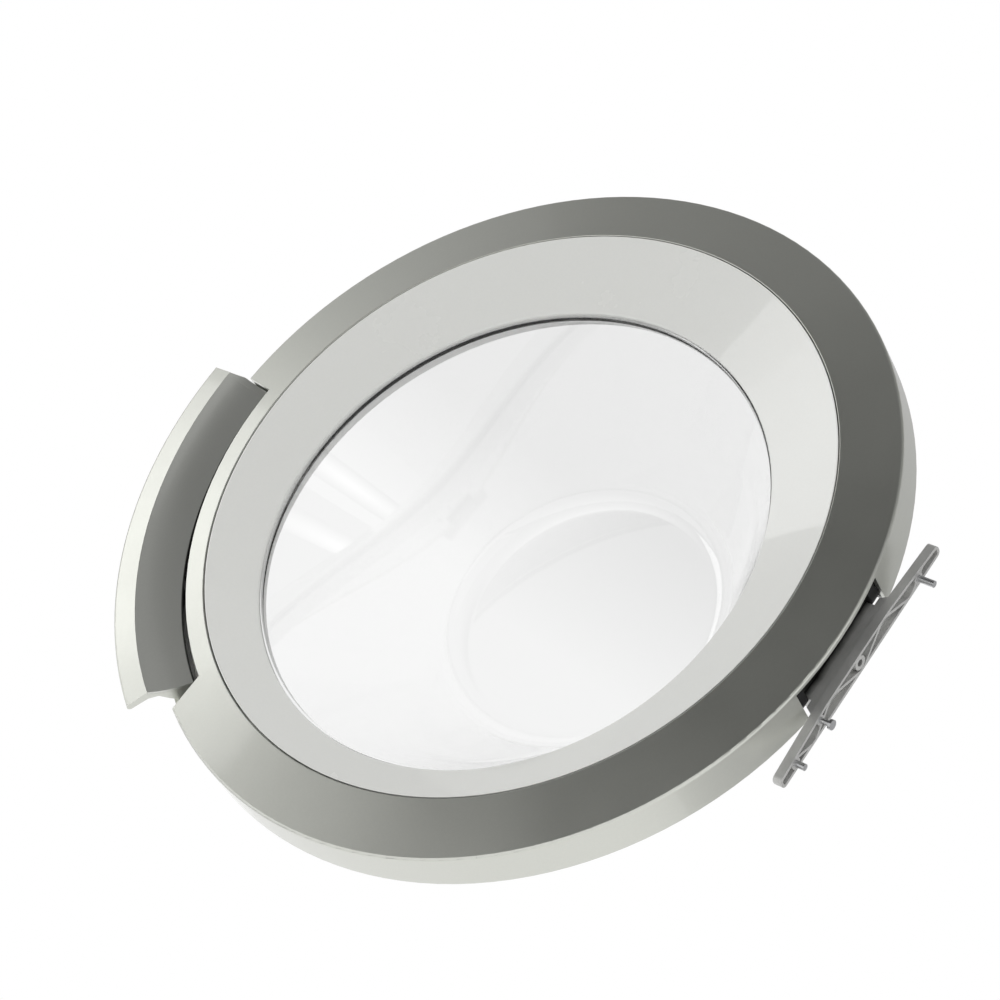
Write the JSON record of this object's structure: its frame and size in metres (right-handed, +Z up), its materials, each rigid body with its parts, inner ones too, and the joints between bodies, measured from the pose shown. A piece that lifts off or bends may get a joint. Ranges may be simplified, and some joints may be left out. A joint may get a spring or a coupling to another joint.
{
  "type": "washing machine door",
  "caption": "Round porthole door of a front-loading washing machine: silver face rings round a deep glass bowl, a sprung pull handle with latch hook, and a cast hinge bracket for the cabinet.",
  "frame": {"origin": "centre of the fixing screw's hole in the hinge bracket's mounting face", "axes": "+X out of the mounting face, towards the cabinet; +Y backwards through the glass bowl of the opened door; +Z up, along the hinge"},
  "size_m": [0.5053, 0.1376, 0.4664],
  "materials": {
    "silver_plastic": "silver lacquer, smooth and glossy",
    "light_silver_plastic": "pale silver lacquer, satin gloss",
    "clear_glass": "clear pressed glass",
    "white_plastic": "moulded, fine matt grain",
    "zinc_steel": "zinc plated",
    "spring_steel": "drawn spring wire",
    "black_plastic": "black bearing plastic",
    "cast_alloy": "die-cast, satin",
    "grey_plastic": "grey lacquer, glossy"
  },
  "bodies": {
    "cabinet_bracket": {"hinge_bracket": "cast_alloy", "hinge_pin": "zinc_steel", "hinge_pin_clips": "zinc_steel", "bracket_pegs": "zinc_steel", "bracket_stud": "zinc_steel"},
    "door": {"outer_ring": "silver_plastic", "inner_trim_ring": "light_silver_plastic", "glass_bowl": "clear_glass", "rear_frame": "white_plastic", "frame_screws": "zinc_steel", "hinge_plate": "zinc_steel", "hinge_plate_screws": "zinc_steel", "hinge_bush_upper": "black_plastic", "hinge_bush_lower": "black_plastic", "handle_pin": "zinc_steel", "latch_bracket": "zinc_steel", "latch_screws": "zinc_steel", "latch_pin": "zinc_steel", "latch_spring": "spring_steel"},
    "handle": {"handle_grip": "light_silver_plastic", "handle_inlay": "grey_plastic"},
    "latch": {"latch_hook": "zinc_steel"}
  },
  "joints": [
    {"name": "door_swing", "type": "hinge", "parent": "cabinet_bracket", "child": "door", "pos_m": [-0.022, -0.008, 0], "axis": [0, 0, 1], "range_deg": [-90, 30]},
    {"name": "handle_pull", "type": "hinge", "parent": "door", "child": "handle", "pos_m": [-0.41175, -0.008, -0.08853], "axis": [-0.454, 0, 0.891], "range_deg": [0, 8], "stiffness_Nm_per_rad": 0.6, "springref_deg": -6.88},
    {"name": "latch_turn", "type": "hinge", "parent": "door", "child": "latch", "pos_m": [-0.42378, -0.008, -0.09466], "axis": [-0.454, 0, 0.891], "range_deg": [0, 16], "deforming": ["latch_spring"]}
  ],
  "couplings": [
    {"joint": "latch_turn", "follows": "handle_pull", "ratio": 2}
  ]
}
